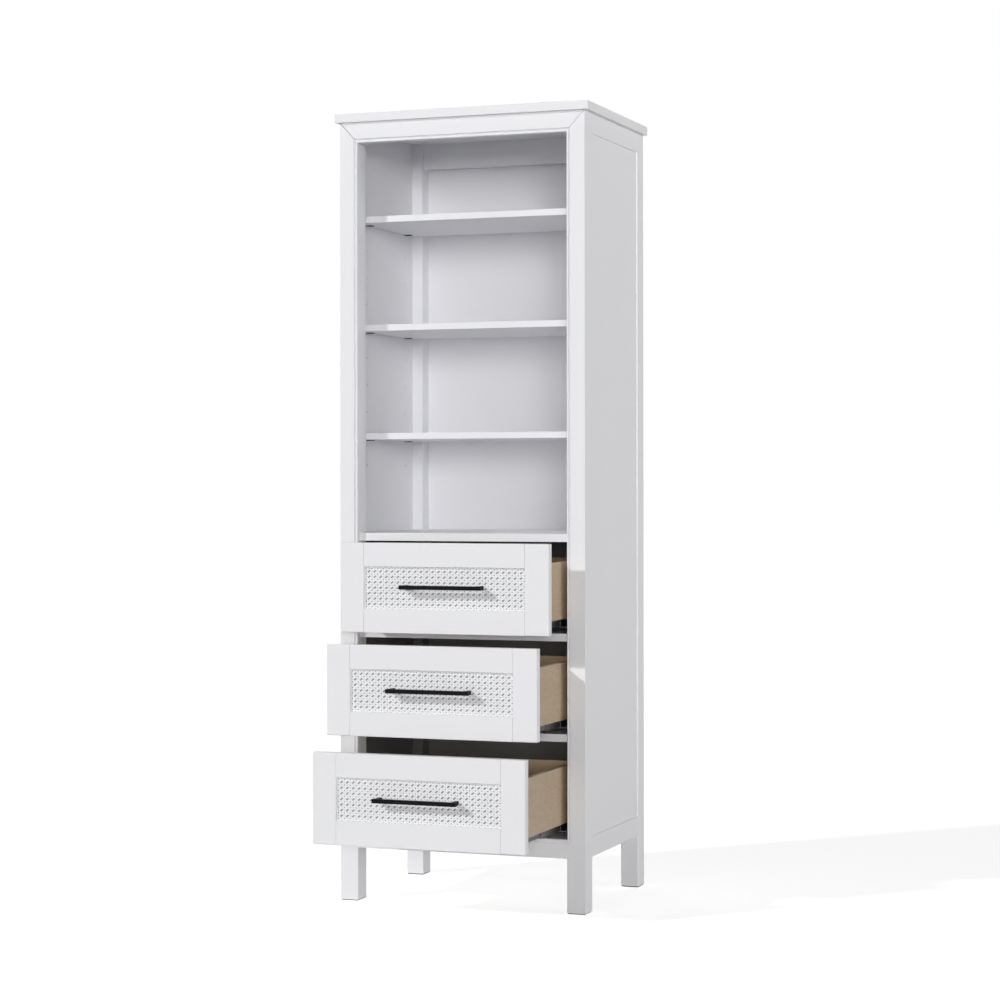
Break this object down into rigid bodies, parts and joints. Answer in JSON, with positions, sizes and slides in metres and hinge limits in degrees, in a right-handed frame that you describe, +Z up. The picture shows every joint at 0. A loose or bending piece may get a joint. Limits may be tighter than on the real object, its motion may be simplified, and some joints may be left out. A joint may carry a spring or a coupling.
{
  "type": "bathroom cabinet",
  "caption": "Tall white linen cabinet on square legs: open bay with adjustable shelves above inset cane-front drawers with black bar pulls.",
  "frame": {"origin": "on the floor, under the centre of the four posts", "axes": "+X to the right seen from the front, +Y to the back, +Z up; drawers open along -Y"},
  "size_m": [0.61, 0.733, 1.8],
  "materials": {
    "white_paint": "satin white paint on wood",
    "white_cane": "white painted cane webbing on a board",
    "birch": "clear satin lacquer on pale birch",
    "plain_pine": "bare pine",
    "black_metal": "black powder coat",
    "zinc_steel": "zinc plated",
    "black_pad": "matte black"
  },
  "bodies": {
    "case": {"top_panel": "white_paint", "front_left_post": "white_paint", "front_right_post": "white_paint", "back_left_post": "white_paint", "back_right_post": "white_paint", "front_top_rail": "white_paint", "front_bottom_rail": "white_paint", "left_side_panel": "white_paint", "right_side_panel": "white_paint", "left_top_side_rail": "white_paint", "right_top_side_rail": "white_paint", "left_bottom_side_rail": "white_paint", "right_bottom_side_rail": "white_paint", "back_panel": "white_paint", "back_top_rail": "white_paint", "back_bottom_rail": "white_paint", "fixed_shelf": "white_paint", "upper_divider_rail": "white_paint", "lower_divider_rail": "white_paint", "bottom_panel": "white_paint", "slide_cleats": "plain_pine", "leg_pads": "black_pad", "shelf_supports": "black_metal", "back_screws": "zinc_steel", "top_slide_cabinet_members": "zinc_steel", "middle_slide_cabinet_members": "zinc_steel", "bottom_slide_cabinet_members": "zinc_steel"},
    "upper_shelf": {"upper_shelf": "white_paint"},
    "middle_shelf": {"middle_shelf": "white_paint"},
    "lower_shelf": {"lower_shelf": "white_paint"},
    "top_drawer": {"top_drawer_stiles": "white_paint", "top_drawer_rails": "white_paint", "top_drawer_cane_panel": "white_cane", "top_drawer_pull": "black_metal", "top_drawer_pull_screws": "zinc_steel", "top_drawer_box_sides": "birch", "top_drawer_box_ends": "birch", "top_drawer_bottom": "birch", "top_drawer_runners": "zinc_steel"},
    "top_slide_middle": {"top_slide_middle_members": "zinc_steel"},
    "middle_drawer": {"middle_drawer_stiles": "white_paint", "middle_drawer_rails": "white_paint", "middle_drawer_cane_panel": "white_cane", "middle_drawer_pull": "black_metal", "middle_drawer_pull_screws": "zinc_steel", "middle_drawer_box_sides": "birch", "middle_drawer_box_ends": "birch", "middle_drawer_bottom": "birch", "middle_drawer_runners": "zinc_steel"},
    "middle_slide_middle": {"middle_slide_middle_members": "zinc_steel"},
    "bottom_drawer": {"bottom_drawer_stiles": "white_paint", "bottom_drawer_rails": "white_paint", "bottom_drawer_cane_panel": "white_cane", "bottom_drawer_pull": "black_metal", "bottom_drawer_pull_screws": "zinc_steel", "bottom_drawer_box_sides": "birch", "bottom_drawer_box_ends": "birch", "bottom_drawer_bottom": "birch", "bottom_drawer_runners": "zinc_steel"},
    "bottom_slide_middle": {"bottom_slide_middle_members": "zinc_steel"}
  },
  "joints": [
    {"name": "top_drawer_slide", "type": "slide", "parent": "case", "child": "top_drawer", "axis": [0, -1, 0], "range_m": [-0.107, 0.243]},
    {"name": "top_slide_middle_slide", "type": "slide", "parent": "case", "child": "top_slide_middle", "axis": [0, -1, 0], "range_m": [-0.0535, 0.1215]},
    {"name": "middle_drawer_slide", "type": "slide", "parent": "case", "child": "middle_drawer", "axis": [0, -1, 0], "range_m": [-0.185, 0.165]},
    {"name": "middle_slide_middle_slide", "type": "slide", "parent": "case", "child": "middle_slide_middle", "axis": [0, -1, 0], "range_m": [-0.0925, 0.0825]},
    {"name": "bottom_drawer_slide", "type": "slide", "parent": "case", "child": "bottom_drawer", "axis": [0, -1, 0], "range_m": [-0.261, 0.089]},
    {"name": "bottom_slide_middle_slide", "type": "slide", "parent": "case", "child": "bottom_slide_middle", "axis": [0, -1, 0], "range_m": [-0.1305, 0.0445]},
    {"name": "upper_shelf_lift", "type": "slide", "parent": "case", "child": "upper_shelf", "axis": [0, 0, 1], "range_m": [0, 0.03]},
    {"name": "middle_shelf_lift", "type": "slide", "parent": "case", "child": "middle_shelf", "axis": [0, 0, 1], "range_m": [0, 0.03]},
    {"name": "lower_shelf_lift", "type": "slide", "parent": "case", "child": "lower_shelf", "axis": [0, 0, 1], "range_m": [0, 0.03]}
  ],
  "couplings": [
    {"joint": "top_slide_middle_slide", "follows": "top_drawer_slide", "ratio": 0.5},
    {"joint": "middle_slide_middle_slide", "follows": "middle_drawer_slide", "ratio": 0.5},
    {"joint": "bottom_slide_middle_slide", "follows": "bottom_drawer_slide", "ratio": 0.5}
  ]
}
